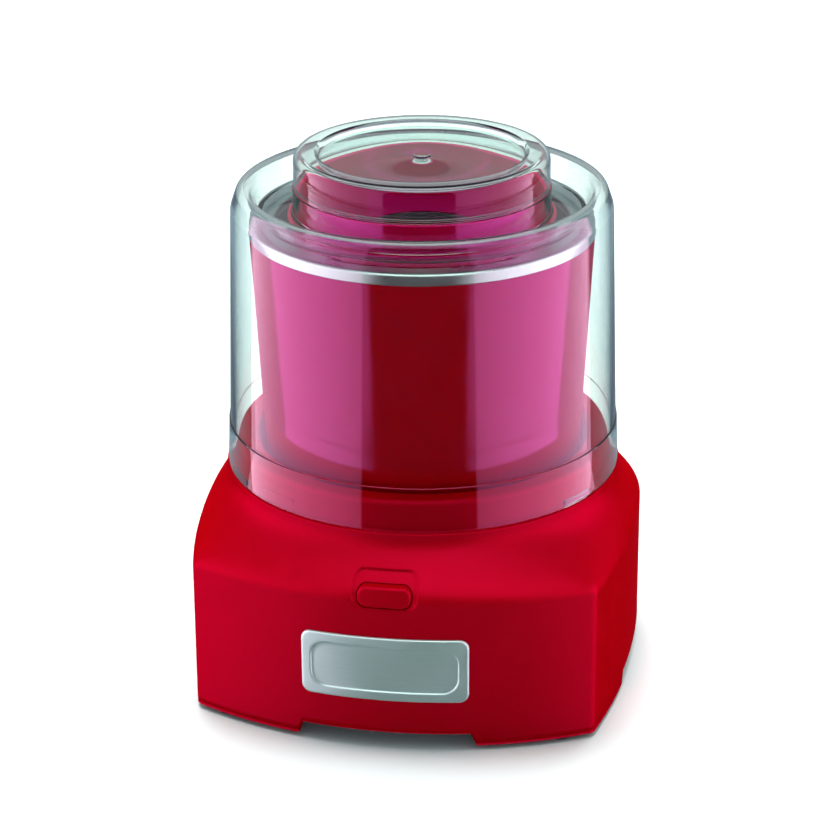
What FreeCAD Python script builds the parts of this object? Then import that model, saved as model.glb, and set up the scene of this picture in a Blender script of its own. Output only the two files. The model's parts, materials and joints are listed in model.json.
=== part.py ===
"""Countertop ice cream maker: motor base, freezer bowl, mixing arm and a clear twist-on lid with a spout cap.

Millimetres, +Z up, front towards -Y. Everything is drawn about the bowl axis and moved at export
by SHIFT_Y, which puts the origin at the centre of the footprint on the table.
"""
import FreeCAD, Part
import math
import os

V = FreeCAD.Vector
UP = V(0, 0, 1)

# ---------------------------------------------------------------- driving dimensions
# Base plan: four bowed sides, tight front corners, round back corners.
BASE_HALF_WIDTH = 120.65
BASE_FRONT = 132.2
BASE_BACK = 112.0
SIDE_BOW_R = 429.0
FRONT_BOW_R = 221.0
BACK_BOW_R = 300.0
FRONT_CORNER_R = 6.0
BACK_CORNER_R = 90.0
BASE_Z0 = 2.6
SHOULDER_Z0 = 84.0          # the plan starts to turn into a circle here
SHOULDER_Z1 = 112.0         # and is one here
DECK_Z = 113.7
DECK_R = 108.6
SHOULDER_STEPS = 7          # straight bands that make up the shoulder's curve
DRAFT = 0.0045              # inward lean of the side walls per mm of height
WALL = 2.8
DECK_CORNER_R = 107.0
DECK_BOW_R = 108.75

# Notches in the bottom edge
NOTCH_HALF = 45.5
NOTCH_TOP = 9.7

# Pedestal ring and bowl well
RING_OUT = 103.5
RING_IN = 91.5
RING_TOP = 130.5
WELL_FLOOR = 100.8
WELL_FLOOR_R = 86.0

# Bottom cover and feet
COVER_Z0 = 10.5
COVER_Z1 = 13.0
COVER_GAP = 0.4
FOOT_R = 10.0
FOOT_H = 2.5
FOOT_STEM_R = 5.9
TOWER_R = 8.6
FRONT_FOOT = (88.3, -100.4)
REAR_FOOT = (62.0, 76.0)
COVER_BOSS = (76.0, 58.0)   # one boss in each quadrant
BOSS_R = 4.5

# Power button
BUTTON_HALF = 14.4
BUTTON_Z0 = 82.0
BUTTON_Z1 = 92.6
BUTTON_GAP = 0.4
DISH_HALF = 17.5
DISH_Z0 = 80.3
DISH_Z1 = 99.0
DISH_DEPTH = 1.3

# Nameplate
PLATE_HALF = 44.4
PLATE_Z0 = 28.8
PLATE_Z1 = 65.2
PLATE_T = 1.6

# Cord inlet
INLET_Z = 27.0
INLET_R = 6.0
INLET_BORE_R = 3.4

# Bowl
BOWL_BOTTOM = 104.0
BOWL_BOTTOM_R = 86.6
BOWL_TOP_R = 92.9
BOWL_WALL = 2.0
RIM_Z0 = 245.2
RIM_Z1 = 251.5
RIM_R = 93.3
LINER_TOP_R = 79.0
LINER_FLOOR_R = 74.5
LINER_FLOOR = 123.5
LINER_WALL = 1.6
SOCKET_R = 20.0

# Lid
LID_Z0 = 114.0
LID_R0 = 108.0
SKIRT_TOP = 138.8
LID_R1 = 102.6
LID_SHOULDER_Z = 259.0
CREST_R = 95.3
CREST_Z = 270.0
FLOOR_R = 86.6
FLOOR_Z = 255.5
LID_T = 2.2
COLLAR_R = 69.3
COLLAR_BORE = 67.3
COLLAR_TOP = 269.5
LID_SPLIT_Z = 250.0         # the lid's wall ends here and its crest begins
TROUGH_OUT = 86.0           # the trough's flat floor lies between these radii
TROUGH_IN = 71.5
LUG_COUNT = 3
LUG_ANGLE = 110.0           # first base lug, degrees from +X
LUG_SPAN = 16.0
TAB_SPAN = 12.0
TWIST = 20.0                # lid turns this far to lock

# Spout ring and cap
SPOUT_OUT = 67.0
SPOUT_IN = 64.6
SPOUT_Z0 = 234.6
SPOUT_Z1 = 268.5
CAP_R = 68.65
CAP_TOP = 288.8
CAP_T = 1.8
CAP_DISH_R = 55.4
CAP_DISH = 4.2
CAP_SPLIT_Z = 282.5         # the cap's wall ends here and its top begins
NUB_R = 4.6

# Mixing arm
ARM_BAR_Z0 = 232.6
ARM_BAR_Z1 = 238.0
ARM_BAR_HALF = 4.6
ARM_GAP = 0.4

# Drive train: two stages of spur gears
SHAFT_R = 5.0
RUN = 0.05                  # running clearance on a radius
GEAR1_MOD = 1.0
PINION_T = 12
IDLER_T = 60
GEAR2_MOD = 1.25
IDLER_PINION_T = 14
OUTPUT_T = 70
IDLER_ANGLE = 150.0         # from the bowl axis to the idler, degrees from +X
MOTOR_ANGLE = 246.5         # from the idler to the motor
BOX_Z0 = 62.0
BOX_Z1 = 88.0
BOX_WALL = 3.0
BOX_COVER_Z1 = 90.5
AXLE_R = 3.0
ROTOR_SHAFT_R = 2.5
MOTOR_R = 28.0
MOTOR_Z0 = 22.0
MOTOR_Z1 = 60.0
EAR_R = 5.0

# The plate is the foremost point and the cord gland the rearmost
GLAND_PROUD = 2.3
SHIFT_Y = round((BASE_FRONT + PLATE_T - BASE_BACK - GLAND_PROUD) / 2, 2)

STAGE2 = GEAR2_MOD * (IDLER_PINION_T + OUTPUT_T) / 2
STAGE1 = GEAR1_MOD * (PINION_T + IDLER_T) / 2


# ---------------------------------------------------------------- helpers
def polar(radius, degrees, centre=(0, 0)):
    """The point at that radius and angle from centre."""
    a = math.radians(degrees)
    return (centre[0] + radius * math.cos(a), centre[1] + radius * math.sin(a))


IDLER_XY = polar(STAGE2, IDLER_ANGLE)
MOTOR_XY = polar(STAGE1, MOTOR_ANGLE, IDLER_XY)


def disc(r, z0, z1, at=(0, 0)):
    """A solid cylinder between two heights."""
    return Part.makeCylinder(r, z1 - z0, V(at[0], at[1], z0), UP)


def tube(r_out, r_in, z0, z1, at=(0, 0)):
    """A straight ring between two heights."""
    return disc(r_out, z0, z1, at).cut(disc(r_in, z0 - 1, z1 + 1, at))


def block(x0, x1, y0, y1, z0, z1):
    """A box between two corners."""
    return Part.makeBox(x1 - x0, y1 - y0, z1 - z0, V(x0, y0, z0))


def rounded_wire(points):
    """A closed wire through (a, b, radius) corners given as 3-D points with a corner radius each."""
    edges, ends = [], []
    count = len(points)
    for i, (p, radius) in enumerate(points):
        before = (points[i - 1][0] - p).normalize()
        after = (points[(i + 1) % count][0] - p).normalize()
        if radius <= 0:
            ends.append((p, None, p))
            continue
        half = before.getAngle(after) / 2
        reach = radius / math.tan(half)
        middle = (before + after).normalize() * (radius / math.sin(half) - radius)
        ends.append((p + before * reach, p + middle, p + after * reach))
    for i, (start, middle, end) in enumerate(ends):
        if middle is not None:
            edges.append(Part.Arc(start, middle, end).toShape())
        following = ends[(i + 1) % count][0]
        if end.distanceToPoint(following) > 1e-6:
            edges.append(Part.makeLine(end, following))
    return Part.Wire(Part.__sortEdges__(edges))


def lathe(corners):
    """Turns a closed (radius, height[, corner radius]) outline about the Z axis."""
    points = [(V(c[0], 0, c[1]), c[2] if len(c) > 2 else 0) for c in corners]
    return Part.Face(rounded_wire(points)).revolve(V(0, 0, 0), UP, 360)


def plank(half, z0, z1, radius, y0, y1):
    """A rounded rectangle in X and Z, extruded from y0 to y1."""
    corners = [(-half, z0), (half, z0), (half, z1), (-half, z1)]
    points = [(V(x, y0, z), radius) for x, z in corners]
    return Part.Face(rounded_wire(points)).extrude(V(0, y1 - y0, 0))


def turned(shape, degrees, centre=(0, 0)):
    """A copy turned about a vertical line through centre."""
    copy = shape.copy()
    copy.rotate(V(centre[0], centre[1], 0), UP, degrees)
    return copy


def moved(shape, x=0, y=0, z=0):
    """A copy moved by x, y, z."""
    copy = shape.copy()
    copy.translate(V(x, y, z))
    return copy


def screw(at, z_head, z_tip, r, head_r, head_h):
    """A pan-head screw that goes up from z_head; its head hangs below."""
    return disc(r, z_head, z_tip, at).fuse(disc(head_r, z_head - head_h, z_head, at))


# ---------------------------------------------------------------- base plan
def plan_at(z, inset):
    """Half sizes and radii of the base's outline at height z, offset inwards by inset."""
    u = min(max((z - SHOULDER_Z0) / (SHOULDER_Z1 - SHOULDER_Z0), 0.0), 1.0)
    blend = u * u * (3 - 2 * u)
    lean = DRAFT * (z - BASE_Z0)

    def size(full):
        return full - lean + (DECK_R - full + lean) * blend - inset

    def bow(full):
        return 1 / ((1 - blend) / full + blend / DECK_BOW_R) - inset

    def corner(full):
        return max(full + (DECK_CORNER_R - full) * blend - inset, 1.5)

    return {
        "side": size(BASE_HALF_WIDTH), "front": size(BASE_FRONT), "back": size(BASE_BACK),
        "side_r": bow(SIDE_BOW_R), "front_r": bow(FRONT_BOW_R), "back_r": bow(BACK_BOW_R),
        "front_corner": corner(FRONT_CORNER_R), "back_corner": corner(BACK_CORNER_R),
    }


def corner_arc(side, side_r, end, end_r, corner_r):
    """The three points of the arc that joins the side bow to the end bow, in the +X +Y quadrant."""
    ax = side - side_r
    by = end - end_r
    ra = side_r - corner_r
    rb = end_r - corner_r
    gap = math.hypot(ax, by)
    along = (ra * ra - rb * rb + gap * gap) / (2 * gap)
    across = math.sqrt(max(ra * ra - along * along, 0.0))
    ux, uy = -ax / gap, by / gap
    options = [(ax + ux * along - s * uy * across, uy * along + s * ux * across) for s in (1, -1)]
    cx, cy = max(options, key=sum)
    start = math.atan2(cy, cx - ax)
    stop = math.atan2(cy - by, cx)
    angles = (start, (start + stop) / 2, stop)
    return [(cx + corner_r * math.cos(a), cy + corner_r * math.sin(a)) for a in angles]


def plan_wire(z, inset):
    """The base's outline at height z: four bows and four corner arcs."""
    p = plan_at(z, inset)
    front = corner_arc(p["side"], p["side_r"], p["front"], p["front_r"], p["front_corner"])
    back = corner_arc(p["side"], p["side_r"], p["back"], p["back_r"], p["back_corner"])
    right_front = [V(x, -y, z) for x, y in front]
    right_back = [V(x, y, z) for x, y in back]
    left_front = [V(-v.x, v.y, z) for v in right_front]
    left_back = [V(-v.x, v.y, z) for v in right_back]
    arcs = [
        (left_front[2], V(0, -p["front"], z), right_front[2]),
        tuple(reversed(right_front)),
        (right_front[0], V(p["side"], 0, z), right_back[0]),
        tuple(right_back),
        (right_back[2], V(0, p["back"], z), left_back[2]),
        tuple(reversed(left_back)),
        (left_back[0], V(-p["side"], 0, z), left_front[0]),
        tuple(left_front),
    ]
    return Part.Wire([Part.Arc(*a).toShape() for a in arcs])


def base_solid(inset, top=DECK_Z, bottom=BASE_Z0):
    """The base's solid envelope offset inwards by inset, between two heights."""
    rise = (109.0 - SHOULDER_Z0) / SHOULDER_STEPS
    heights = [SHOULDER_Z0 + rise * i for i in range(SHOULDER_STEPS + 1)]
    return Part.makeLoft([plan_wire(z, inset) for z in [bottom] + heights + [top]], True, True)


# ---------------------------------------------------------------- base parts
def pedestal():
    """Ring that centres the lid, with the bowl well inside it and the shaft boss in the middle."""
    hole = SHAFT_R + 3
    under = WELL_FLOOR - WALL
    return lathe([
        (RING_OUT - 2.6, DECK_Z - WALL), (RING_OUT + 0.3, DECK_Z - WALL), (RING_OUT, RING_TOP, 3.2),
        (RING_IN, RING_TOP, 3.2), (WELL_FLOOR_R + 4.2, WELL_FLOOR, 5.0), (15, WELL_FLOOR, 1.0),
        (13.5, WELL_FLOOR + 2.4, 0.6), (hole, WELL_FLOOR + 2.4), (hole, under),
        (WELL_FLOOR_R + 6.8, under, 6.0), (RING_IN + 2.8, RING_TOP - WALL, 1.0),
        (RING_OUT - 2.6, RING_TOP - WALL, 1.0),
    ])


def base_lugs():
    """Bayonet lugs on the pedestal that the lid's tabs turn under."""
    wedge = sector(LUG_SPAN, 110, 118, 121)
    lug = tube(RING_OUT + 1.0, RING_OUT - 1.2, 118.4, 120.6).common(wedge)
    return [turned(lug, LUG_ANGLE + i * 360 / LUG_COUNT) for i in range(LUG_COUNT)]


def sector(span, radius, z0, z1):
    """A wedge of a cylinder, centred on +X."""
    half = math.radians(span / 2)
    a = V(radius * math.cos(half), -radius * math.sin(half), z0)
    b = V(radius * math.cos(half), radius * math.sin(half), z0)
    arc = Part.Arc(a, V(radius, 0, z0), b).toShape()
    wire = Part.Wire([Part.makeLine(V(0, 0, z0), a), arc, Part.makeLine(b, V(0, 0, z0))])
    return Part.Face(wire).extrude(V(0, 0, z1 - z0))


def cover_boss_centres():
    bx, by = COVER_BOSS
    return [(sx * bx, sy * by) for sx in (-1, 1) for sy in (-1, 1)]


def gearbox_screw_centres():
    """Four lugs round the gearbox, also the bosses under the well."""
    return [polar(56, -60), polar(56, 15), polar(56, 75), polar(39, 175, IDLER_XY)]


def base_housing():
    """Moulded shell: bowed walls, shoulder, pedestal, well, screw bosses and openings."""
    shell = base_solid(0).cut(base_solid(WALL, DECK_Z - WALL, BASE_Z0 - 1))
    shell = shell.cut(disc(RING_OUT - 1.0, DECK_Z - WALL - 5, DECK_Z + 5))
    shell = shell.fuse(pedestal())
    shell = shell.fuse(base_lugs())
    bosses = [disc(BOSS_R, COVER_Z1 + 0.1, DECK_Z - 1, c) for c in cover_boss_centres()]
    bosses += [disc(5.0, BOX_COVER_Z1 + 0.1, WELL_FLOOR - 1, c) for c in gearbox_screw_centres()]
    shell = shell.fuse([b.common(base_solid(1.0)) for b in bosses])
    holes = [disc(1.6, COVER_Z1 - 1, 30, c) for c in cover_boss_centres()]
    holes += [disc(1.9, BOX_COVER_Z1 - 1, WELL_FLOOR - 1.8, c) for c in gearbox_screw_centres()]
    reach = 150
    notch = plank(NOTCH_HALF, -5, NOTCH_TOP, 1.2, -reach, -reach + 60)
    holes += [turned(notch, angle) for angle in (0, 90, -90)]
    holes.append(Part.makeCylinder(INLET_R, 20, V(0, BASE_BACK - 10, INLET_Z), V(0, 1, 0)))
    dish = plank(DISH_HALF, DISH_Z0, DISH_Z1, 5.0, -reach, -reach + 50)
    holes.append(dish.cut(base_solid(DISH_DEPTH)))
    holes.append(plank(BUTTON_HALF + BUTTON_GAP, BUTTON_Z0 - BUTTON_GAP, BUTTON_Z1 + BUTTON_GAP,
                       5.2, -reach, -reach + 50))
    return shell.cut(holes)


def foot_centres():
    fx, fy = FRONT_FOOT
    rx, ry = REAR_FOOT
    return {"foot_front_left": (-fx, fy), "foot_front_right": (fx, fy),
            "foot_rear_left": (-rx, ry), "foot_rear_right": (rx, ry)}


def bottom_cover():
    """Raised floor plate with four foot towers, cooling slots and screw counterbores."""
    outline = base_solid(WALL + COVER_GAP).common(block(-130, 130, -140, 130, COVER_Z0, COVER_Z1))
    cover = outline.fuse([disc(TOWER_R, FOOT_H + 0.1, COVER_Z0 + 1, c)
                          for c in foot_centres().values()])
    cover = cover.cut([disc(FOOT_STEM_R + 0.1, FOOT_H, COVER_Z0 - 1, c)
                       for c in foot_centres().values()])
    cover = cover.cut([disc(1.8, COVER_Z0 - 1, COVER_Z1 + 1, c) for c in cover_boss_centres()])
    slots = []
    for i in range(-4, 5):
        x = MOTOR_XY[0] + 6 * i
        half = math.sqrt(30 ** 2 - (6 * i) ** 2)
        slots.append(block(x - 1.3, x + 1.3, MOTOR_XY[1] - half, MOTOR_XY[1] + half,
                           COVER_Z0 - 1, COVER_Z1 + 1))
    return cover.cut(slots)


def foot(at):
    """Rubber foot: a pad with a stem pressed into its tower."""
    pad = Part.makeCylinder(FOOT_R, FOOT_H, V(at[0], at[1], 0))
    pad = pad.makeFillet(0.8, [pad.Edges[2]])
    return pad.fuse(disc(FOOT_STEM_R, FOOT_H, COVER_Z0 - 1.5, at))


def nameplate():
    """Plate that follows the front bow, with a raised edge and a sunk field."""
    window = plank(PLATE_HALF, PLATE_Z0, PLATE_Z1, 5.0, -150, -100)
    plate = window.common(base_solid(-PLATE_T)).cut(base_solid(0))
    field = plank(PLATE_HALF - 5.0, PLATE_Z0 + 4.5, PLATE_Z1 - 4.5, 9.0, -150, -100)
    return plate.cut(field.cut(base_solid(-PLATE_T + 0.5)))


def power_button():
    """Pill-shaped push cap that follows the shoulder, with a stem behind it."""
    cap = plank(BUTTON_HALF, BUTTON_Z0, BUTTON_Z1, 4.8, -150, -100)
    cap = cap.common(base_solid(-0.6)).cut(base_solid(4.2, DECK_Z, BASE_Z0))
    stem = block(-4, 4, -130, -119.5, 85, 90)
    return cap.fuse(stem)


def switch_body():
    """Switch behind the button, on two arms that reach the front wall."""
    body = block(-10, 10, -117, -101, 80.5, 94)
    arms = [block(s - 1.5, s + 1.5, -132, -108, 83, 90) for s in (-17.5, 17.5)]
    bridge = block(-19, 19, -108.5, -104, 83, 90)
    arms = [a.common(base_solid(WALL, DECK_Z - WALL)) for a in arms]
    return body.fuse(arms + [bridge])


def cord_gland():
    """Rubber bushing in the back wall."""
    back = BASE_BACK - DRAFT * (INLET_Z - BASE_Z0)
    rings = [(INLET_R + 2.2, back + 0.1, GLAND_PROUD - 0.1),
             (INLET_R - 0.1, back - WALL - 0.5, WALL + 0.7), (INLET_R + 1.6, back - WALL - 2.4, 2.0)]
    solids = [Part.makeCylinder(r, h, V(0, y, INLET_Z), V(0, 1, 0)) for r, y, h in rings]
    bore = Part.makeCylinder(INLET_BORE_R, 30, V(0, back - 15, INLET_Z), V(0, 1, 0))
    return solids[0].fuse(solids[1:]).cut(bore)


# ---------------------------------------------------------------- drive train
def gear_outline(module, teeth, z0, z1, backlash=0.16):
    """A spur gear blank with straight-sided involute-shaped teeth; a tooth points along +X."""
    pitch_r = module * teeth / 2
    base_r = pitch_r * math.cos(math.radians(20))
    tip_r = pitch_r + 0.8 * module
    root_r = pitch_r - 1.15 * module

    def involute(r):
        if r <= base_r:
            return 0.0
        a = math.acos(base_r / r)
        return math.tan(a) - a

    half_at_pitch = math.pi / (2 * teeth) - backlash / (2 * pitch_r)
    flank = [(r, half_at_pitch + involute(pitch_r) - involute(r)) for r in (root_r, pitch_r, tip_r)]
    points = []
    for t in range(teeth):
        middle = 2 * math.pi * t / teeth
        angles = [(r, middle - h) for r, h in flank] + [(r, middle + h) for r, h in reversed(flank)]
        points += [V(r * math.cos(a), r * math.sin(a), z0) for r, a in angles]
    return Part.Face(Part.makePolygon(points + points[:1])).extrude(V(0, 0, z1 - z0))


def output_gear():
    """Large nylon gear with a webbed disc, fixed to the output shaft."""
    gear = gear_outline(GEAR2_MOD, OUTPUT_T, 75.5, 83.5)
    gear = gear.cut([tube(38, 13, 80.5, 84), tube(38, 13, 75, 78.5)])
    gear = gear.fuse(disc(10, 72, 86))
    holes = [disc(7, 70, 90, polar(25.5, 60 * i)) for i in range(6)]
    gear = gear.cut(holes + [disc(SHAFT_R, 70, 90)])
    return turned(gear, IDLER_ANGLE)


def idler_gear():
    """Cluster gear: the large wheel takes the motor's pinion, the small one drives the output."""
    wheel = gear_outline(GEAR1_MOD, IDLER_T, 67, 73)
    wheel = wheel.cut(tube(26, 10, 71, 74))
    small = gear_outline(GEAR2_MOD, IDLER_PINION_T, 72.5, 85)
    wheel = turned(wheel, MOTOR_ANGLE)
    small = turned(small, IDLER_ANGLE + 180 + 180 / IDLER_PINION_T)
    gear = wheel.fuse(small).cut(disc(AXLE_R + RUN, 60, 90))
    return moved(gear, *IDLER_XY)


def motor_pinion():
    """Steel pinion pressed on the rotor shaft."""
    gear = gear_outline(GEAR1_MOD, PINION_T, 66.6, 74).cut(disc(ROTOR_SHAFT_R, 60, 80))
    return moved(turned(gear, MOTOR_ANGLE + 180 + 180 / PINION_T), *MOTOR_XY)


def gearbox_plan(margin, z0, z1):
    """Three discs round the three gears."""
    return disc(48 + margin, z0, z1).fuse([disc(34.5 + margin, z0, z1, IDLER_XY),
                                           disc(11 + margin, z0, z1, MOTOR_XY)])


def gearbox_housing():
    """Tray that holds the gears, hung from the well by four screws."""
    box = gearbox_plan(BOX_WALL, BOX_Z0, BOX_Z1)
    box = box.fuse([disc(5.5, BOX_Z0, BOX_Z1, c) for c in gearbox_screw_centres()])
    box = box.cut(gearbox_plan(0, BOX_Z0 + BOX_WALL, BOX_Z1 + 1))
    box = box.fuse([tube(9, SHAFT_R + RUN, BOX_Z0, 71.5), tube(6, AXLE_R, BOX_Z0, 66.5, IDLER_XY)])
    flange = [disc(MOTOR_R + 1, BOX_Z0, BOX_Z0 + BOX_WALL, MOTOR_XY)]
    flange += [disc(EAR_R, BOX_Z0, BOX_Z0 + BOX_WALL, c) for c in motor_ear_centres()]
    box = box.fuse(flange)
    holes = [disc(SHAFT_R + RUN, 50, 75), disc(AXLE_R, 50, 75, IDLER_XY), disc(5.0, 50, 75, MOTOR_XY)]
    holes += [disc(2.1, 50, 95, c) for c in gearbox_screw_centres()]
    holes += [disc(1.6, 50, 75, c) for c in motor_ear_centres()]
    return box.cut(holes)


def gearbox_cover():
    """Plate that closes the gearbox."""
    plate = gearbox_plan(BOX_WALL, BOX_Z1, BOX_COVER_Z1)
    plate = plate.fuse([disc(5.5, BOX_Z1, BOX_COVER_Z1, c) for c in gearbox_screw_centres()])
    holes = [disc(9, 80, 95), disc(AXLE_R, 80, 95, IDLER_XY)]
    holes += [disc(2.1, 80, 95, c) for c in gearbox_screw_centres()]
    return plate.cut(holes)


def motor_ear_centres():
    return [polar(MOTOR_R + 3.2, MOTOR_ANGLE + 90 + 180 * i, MOTOR_XY) for i in range(2)]


def motor_can():
    """Drawn steel can with ears, a bush seat and cooling windows."""
    can = disc(MOTOR_R, MOTOR_Z0, MOTOR_Z1, MOTOR_XY)
    can = can.fuse([disc(EAR_R, MOTOR_Z1 - 1.6, MOTOR_Z1, c) for c in motor_ear_centres()])
    can = can.cut([disc(MOTOR_R - 1.5, MOTOR_Z0 + 2, MOTOR_Z1 + 1, MOTOR_XY),
                   disc(5.0, MOTOR_Z0 - 1, MOTOR_Z0 + 3, MOTOR_XY)])
    can = can.cut([disc(1.6, MOTOR_Z1 - 5, MOTOR_Z1 + 1, c) for c in motor_ear_centres()])
    window = block(10, 22, -3, 3, MOTOR_Z0 - 1, MOTOR_Z0 + 3)
    return can.cut([moved(turned(window, 60 * i + 30), *MOTOR_XY) for i in range(6)])


def motor_mount_ring():
    """Rubber ring between the can and the gearbox."""
    return tube(MOTOR_R - 0.2, MOTOR_R - 5, MOTOR_Z1 + 0.05, BOX_Z0 - 0.05, MOTOR_XY)


def motor_stator():
    """Laminated field ring with two poles."""
    ring = tube(26.3, 20.5, 28, 54)
    poles = [turned(block(15.5, 22, -7, 7, 28, 54), 180 * i) for i in range(2)]
    stator = ring.fuse(poles).cut(disc(16.9, 27, 55))
    return moved(stator, *MOTOR_XY)


def motor_windings():
    """Copper coil ends above and below the poles, as one group."""
    coil = tube(25.5, 17.5, 54.2, 58).common(sector(100, 40, 50, 60))
    low = tube(25.5, 17.5, 24.4, 27.8).common(sector(100, 40, 20, 30))
    solids = [moved(turned(c, 180 * i), *MOTOR_XY) for c in (coil, low) for i in range(2)]
    return Part.makeCompound(solids)


def rotor_core():
    """Armature with skewless slots."""
    core = disc(16.3, 28, 54).cut(disc(ROTOR_SHAFT_R, 20, 60))
    slots = [turned(block(11, 18, -0.9, 0.9, 27, 55), 30 * i) for i in range(12)]
    return moved(core.cut(slots), *MOTOR_XY)


def cooling_fan():
    """Eight-blade fan below the motor."""
    hub = disc(6, 15.5, 21)
    blade = block(4, 22, -0.8, 0.8, 15.8, 20.8)
    blade.rotate(V(0, 0, 18.3), V(1, 0, 0), 30)
    blade = blade.common(disc(22, 15.5, 21))
    fan = hub.fuse([turned(blade, 45 * i) for i in range(8)])
    return moved(fan.cut(disc(ROTOR_SHAFT_R, 10, 30)), *MOTOR_XY)


def motor_bushes():
    """Bronze bushes at both ends of the rotor shaft, as one group."""
    spans = [(MOTOR_Z0, MOTOR_Z0 + 3.5), (BOX_Z0, BOX_Z0 + 4)]
    return Part.makeCompound([tube(5.0, ROTOR_SHAFT_R + RUN, a, b, MOTOR_XY) for a, b in spans])


def output_bush():
    """Flanged bronze bush in the well floor."""
    top = WELL_FLOOR + 2.4
    bush = disc(SHAFT_R + 3, WELL_FLOOR - WALL - 1, top).fuse(disc(SHAFT_R + 5, top, top + 0.7))
    return bush.cut(disc(SHAFT_R + RUN, 90, 110))


def drive_coupler():
    """Six-dog coupler on top of the output shaft."""
    z0, z1 = WELL_FLOOR + 3.4, 111.0
    hub = disc(10, z0, z1)
    dog = block(8, 15.0, -2.6, 2.6, z0, z1)
    dogs = hub.fuse([turned(dog, 60 * i) for i in range(6)])
    return dogs.cut(disc(SHAFT_R, z0 - 1, z1 - 2))


# ---------------------------------------------------------------- bowl
def bowl_radius(z):
    """Outer radius of the bowl's wall at height z."""
    return BOWL_BOTTOM_R + (BOWL_TOP_R - BOWL_BOTTOM_R) * (z - BOWL_BOTTOM) / (RIM_Z0 - BOWL_BOTTOM)


def liner_radius(z):
    """Inner radius of the liner at height z."""
    return LINER_FLOOR_R + (LINER_TOP_R - LINER_FLOOR_R) * (z - LINER_FLOOR) / (RIM_Z1 - LINER_FLOOR)


def bowl_shell():
    """Red outer wall and floor of the bowl, with the hole for the drive socket."""
    floor = BOWL_BOTTOM + BOWL_WALL
    return lathe([
        (SOCKET_R, BOWL_BOTTOM), (BOWL_BOTTOM_R, BOWL_BOTTOM, 7), (BOWL_TOP_R, RIM_Z0),
        (BOWL_TOP_R - BOWL_WALL, RIM_Z0), (BOWL_BOTTOM_R - BOWL_WALL, floor, 5), (SOCKET_R, floor),
    ])


def bowl_socket():
    """Drive socket let into the bowl's floor; its six ribs sit between the coupler's dogs."""
    cup = disc(SOCKET_R, BOWL_BOTTOM, 116).cut(disc(15.6, BOWL_BOTTOM - 1, 112))
    rib = block(10.6, 16.5, -2.4, 2.4, BOWL_BOTTOM, 112.5)
    return cup.fuse([turned(rib, 60 * i + 30) for i in range(6)])


def bowl_liner():
    """Aluminium inner bowl that the mix freezes against."""
    top = RIM_Z0 + 0.6
    return lathe([
        (0, LINER_FLOOR), (LINER_FLOOR_R, LINER_FLOOR, 12), (liner_radius(top), top),
        (liner_radius(top) + LINER_WALL, top), (LINER_FLOOR_R + LINER_WALL, LINER_FLOOR - LINER_WALL, 13.6),
        (0, LINER_FLOOR - LINER_WALL),
    ])


def bowl_rim():
    """Aluminium band that closes the double wall."""
    return lathe([
        (LINER_TOP_R, RIM_Z0 + 0.6), (LINER_TOP_R + 3, RIM_Z0 + 0.6), (LINER_TOP_R + 3, RIM_Z0),
        (RIM_R, RIM_Z0), (RIM_R, RIM_Z1, 1.2), (LINER_TOP_R, RIM_Z1, 1.2),
    ])


def bowl_coolant():
    """Sealed coolant between the walls."""
    gap = 0.15
    z0, z1 = 108, 238
    return lathe([
        (SOCKET_R + gap, z0), (bowl_radius(z0) - BOWL_WALL - 1, z0, 3),
        (bowl_radius(z1) - BOWL_WALL - gap, z1),
        (liner_radius(z1) + LINER_WALL + gap, z1),
        (LINER_FLOOR_R + LINER_WALL + gap, LINER_FLOOR - LINER_WALL - gap, 13.9),
        (0, LINER_FLOOR - LINER_WALL - gap), (0, 116 + gap), (SOCKET_R + gap, 116 + gap),
    ])


# ---------------------------------------------------------------- mixing arm
def mixing_arm():
    """White paddle: a top bar held by the spout ring, two legs, three scraper vanes and a foot."""
    bar_end = SPOUT_OUT - 0.4
    bar = block(-bar_end, bar_end, -ARM_BAR_HALF, ARM_BAR_HALF, ARM_BAR_Z0, ARM_BAR_Z1)
    bar = bar.common(disc(bar_end, ARM_BAR_Z0, ARM_BAR_Z1))
    foot_z = LINER_FLOOR + 0.6
    parts = []
    for sign in (-1, 1):
        low = liner_radius(140) - 3.5
        high = 61.0
        corners = [(sign * (high - 9), ARM_BAR_Z0 + 1), (sign * high, ARM_BAR_Z0 + 1),
                   (sign * low, 215), (sign * low, 139), (sign * (low - 9), 134), (sign * (low - 9), 210)]
        points = [(V(x, -3, z), 0) for x, z in corners]
        parts.append(Part.Face(rounded_wire(points)).extrude(V(0, 6, 0)))
    for z, tilt in [(146, 18), (176, -18), (206, 18)]:
        vane = block(-63, 63, -1.4, 1.4, z - 8, z + 8)
        vane.rotate(V(0, 0, z), V(1, 0, 0), tilt)
        parts.append(vane)
    skid = block(-60, 60, -3, 3, foot_z, foot_z + 5)
    posts = [block(s * 59 - 4, s * 59 + 4, -3, 3, foot_z, 142) for s in (-1, 1)]
    return bar.fuse(parts + [skid] + posts)


# ---------------------------------------------------------------- lid
def lid_tabs():
    """Tabs inside the lid's skirt, clear of the base lugs until the lid turns."""
    tab = tube(LID_R0 - LID_T, RING_OUT + 0.7, LID_Z0 + 0.6, LID_Z0 + 3.6).common(
        sector(TAB_SPAN, 115, LID_Z0, LID_Z0 + 5))
    return [turned(tab, LUG_ANGLE - TWIST + i * 360 / LUG_COUNT) for i in range(LUG_COUNT)]


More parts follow.
